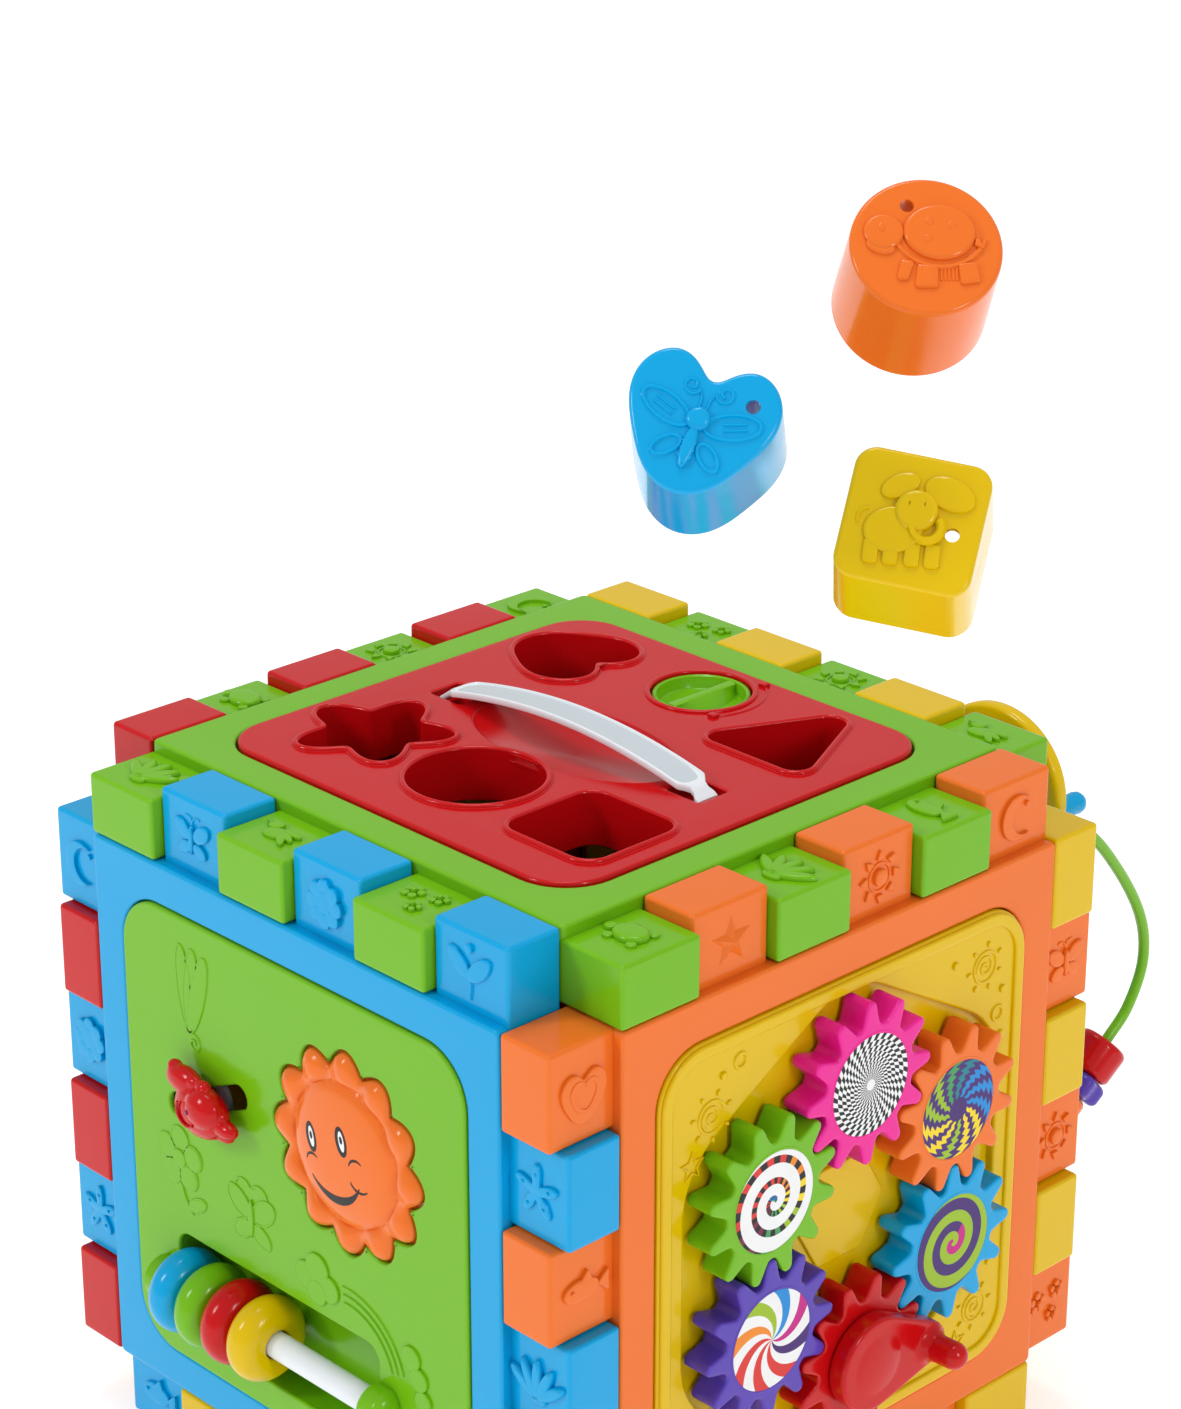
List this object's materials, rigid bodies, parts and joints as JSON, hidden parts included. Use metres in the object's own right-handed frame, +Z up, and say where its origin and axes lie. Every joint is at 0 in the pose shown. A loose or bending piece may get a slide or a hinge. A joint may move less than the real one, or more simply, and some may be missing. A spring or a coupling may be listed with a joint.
{
  "type": "baby activity cube",
  "caption": "Toy cube of interlocking play panels: shape-sorter lid with blocks, abacus, push-button sun, meshing gears with crank, bead wire and play clock.",
  "frame": {"origin": "centre of the face that the cube stands on", "axes": "+Z up, towards the shape-sorter lid; -Y out of the sun and abacus panel; +X out of the gear panel"},
  "size_m": [0.4318, 0.4202, 0.5691],
  "materials": {
    "green_plastic": "glossy",
    "blue_plastic": "glossy",
    "orange_plastic": "glossy",
    "yellow_plastic": "glossy",
    "red_plastic": "glossy",
    "pink_plastic": "glossy",
    "purple_plastic": "glossy",
    "white_plastic": "satin",
    "grey_plastic": "satin",
    "coated_wire": "glossy",
    "board": "satin",
    "dome_rubber": "matte",
    "screw_steel": "satin",
    "cell_wrap": "satin"
  },
  "bodies": {
    "cube": {"top_frame": "green_plastic", "front_frame": "blue_plastic", "right_frame": "orange_plastic", "rear_frame": "yellow_plastic", "left_frame": "red_plastic", "bottom_frame": "yellow_plastic", "front_plate": "green_plastic", "gear_plate": "yellow_plastic", "maze_plate": "blue_plastic", "clock_plate": "yellow_plastic", "bottom_plate": "green_plastic", "sound_housing": "white_plastic", "circuit_board": "board", "switch_dome": "dome_rubber", "speaker": "cell_wrap", "battery_1": "cell_wrap", "battery_2": "cell_wrap", "battery_door": "white_plastic", "battery_screw": "screw_steel", "abacus_rod": "white_plastic", "rod_cap": "green_plastic", "maze_wire": "coated_wire", "clock_cap": "red_plastic"},
    "lid": {"sorter_lid": "red_plastic", "carry_handle": "white_plastic"},
    "knob": {"lock_knob": "green_plastic", "lock_latch": "grey_plastic"},
    "sun": {"sun_button": "orange_plastic"},
    "bird": {"bird_slider": "red_plastic", "bird_retainer": "grey_plastic"},
    "ring_blue": {"abacus_ring_blue": "blue_plastic"},
    "ring_green": {"abacus_ring_green": "green_plastic"},
    "ring_red": {"abacus_ring_red": "red_plastic"},
    "ring_yellow": {"abacus_ring_yellow": "yellow_plastic"},
    "crank_gear": {"gear_red": "red_plastic", "crank_handle": "red_plastic"},
    "blue_gear": {"gear_blue": "blue_plastic"},
    "orange_gear": {"gear_orange": "orange_plastic"},
    "pink_gear": {"gear_pink": "pink_plastic"},
    "green_gear": {"gear_green": "green_plastic"},
    "purple_gear": {"gear_purple": "purple_plastic"},
    "spinner": {"spinner_disc": "yellow_plastic", "spinner_peg": "blue_plastic"},
    "red_bead": {"bead_red": "red_plastic"},
    "purple_bead": {"bead_purple": "purple_plastic"},
    "orange_bead": {"bead_orange": "orange_plastic"},
    "hours": {"hour_hand": "blue_plastic"},
    "minutes": {"minute_hand": "green_plastic"},
    "circle_block": {"block_circle": "orange_plastic"},
    "heart_block": {"block_heart": "blue_plastic"},
    "square_block": {"block_square": "yellow_plastic"},
    "star_block": {"block_star": "red_plastic"},
    "triangle_block": {"block_triangle": "green_plastic"}
  },
  "joints": [
    {"name": "lid_lift", "type": "slide", "parent": "cube", "child": "lid", "axis": [0, 0, 1], "range_m": [0, 0.045]},
    {"name": "knob_turn", "type": "hinge", "parent": "lid", "child": "knob", "pos_m": [-0.001, 0.073, 0.3], "axis": [0, 0, -1], "range_deg": [0, 90]},
    {"name": "sun_press", "type": "slide", "parent": "cube", "child": "sun", "axis": [0, 1, 0], "range_m": [0, 0.003], "stiffness_N_per_m": 500, "springref_m": -0.002},
    {"name": "bird_slide", "type": "slide", "parent": "cube", "child": "bird", "axis": [0.9063, 0, 0.4226], "range_m": [-0.021, 0.021]},
    {"name": "ring_blue_slide", "type": "slide", "parent": "cube", "child": "ring_blue", "axis": [1, 0, 0], "range_m": [0, 0.014]},
    {"name": "ring_green_slide", "type": "slide", "parent": "ring_blue", "child": "ring_green", "axis": [1, 0, 0], "range_m": [0, 0.014]},
    {"name": "ring_red_slide", "type": "slide", "parent": "ring_green", "child": "ring_red", "axis": [1, 0, 0], "range_m": [0, 0.014]},
    {"name": "ring_yellow_slide", "type": "slide", "parent": "ring_red", "child": "ring_yellow", "axis": [1, 0, 0], "range_m": [0, 0.014]},
    {"name": "pink_gear_turn", "type": "hinge", "parent": "cube", "child": "pink_gear", "pos_m": [0.151, 0, 0.211], "axis": [1, 0, 0], "continuous": true},
    {"name": "orange_gear_turn", "type": "hinge", "parent": "cube", "child": "orange_gear", "pos_m": [0.151, 0.05196, 0.181], "axis": [1, 0, 0], "continuous": true},
    {"name": "blue_gear_turn", "type": "hinge", "parent": "cube", "child": "blue_gear", "pos_m": [0.151, 0.05196, 0.121], "axis": [1, 0, 0], "continuous": true},
    {"name": "crank_turn", "type": "hinge", "parent": "cube", "child": "crank_gear", "pos_m": [0.151, 0, 0.091], "axis": [1, 0, 0], "continuous": true},
    {"name": "purple_gear_turn", "type": "hinge", "parent": "cube", "child": "purple_gear", "pos_m": [0.151, -0.05196, 0.121], "axis": [1, 0, 0], "continuous": true},
    {"name": "green_gear_turn", "type": "hinge", "parent": "cube", "child": "green_gear", "pos_m": [0.151, -0.05196, 0.181], "axis": [1, 0, 0], "continuous": true},
    {"name": "spinner_turn", "type": "hinge", "parent": "cube", "child": "spinner", "pos_m": [0.06, 0.189, 0.246], "axis": [0, 1, 0], "continuous": true},
    {"name": "bead_red_slide", "type": "slide", "parent": "cube", "child": "red_bead", "axis": [-0.1275, -0.714, -0.6885], "range_m": [0, 0.011]},
    {"name": "bead_purple_slide", "type": "slide", "parent": "red_bead", "child": "purple_bead", "axis": [-0.1275, -0.714, -0.6885], "range_m": [0, 0.011]},
    {"name": "bead_orange_slide", "type": "slide", "parent": "purple_bead", "child": "orange_bead", "axis": [-0.1275, -0.714, -0.6885], "range_m": [0, 0.011]},
    {"name": "hour_hand_turn", "type": "hinge", "parent": "cube", "child": "hours", "pos_m": [-0.155, 0, 0.151], "axis": [-1, 0, 0], "continuous": true},
    {"name": "minute_hand_turn", "type": "hinge", "parent": "cube", "child": "minutes", "pos_m": [-0.159, 0, 0.151], "axis": [-1, 0, 0], "continuous": true},
    {"name": "block_circle_lower", "type": "slide", "parent": "cube", "child": "circle_block", "axis": [-0.559, 0.4527, -0.6947], "range_m": [0, 0.05]},
    {"name": "block_heart_lower", "type": "slide", "parent": "cube", "child": "heart_block", "axis": [-0.5413, 0.6012, -0.5878], "range_m": [0, 0.05]},
    {"name": "block_square_lower", "type": "slide", "parent": "cube", "child": "square_block", "axis": [-0.5065, 0.6037, -0.6157], "range_m": [0, 0.04]},
    {"name": "block_star_raise", "type": "slide", "parent": "cube", "child": "star_block", "axis": [0, 0, 1], "range_m": [0, 0.3]},
    {"name": "block_triangle_raise", "type": "slide", "parent": "cube", "child": "triangle_block", "axis": [0, 0, 1], "range_m": [0, 0.3]}
  ],
  "couplings": [
    {"joint": "pink_gear_turn", "follows": "crank_turn", "ratio": -1},
    {"joint": "orange_gear_turn", "follows": "crank_turn", "ratio": 1},
    {"joint": "blue_gear_turn", "follows": "crank_turn", "ratio": -1},
    {"joint": "purple_gear_turn", "follows": "crank_turn", "ratio": -1},
    {"joint": "green_gear_turn", "follows": "crank_turn", "ratio": 1}
  ]
}
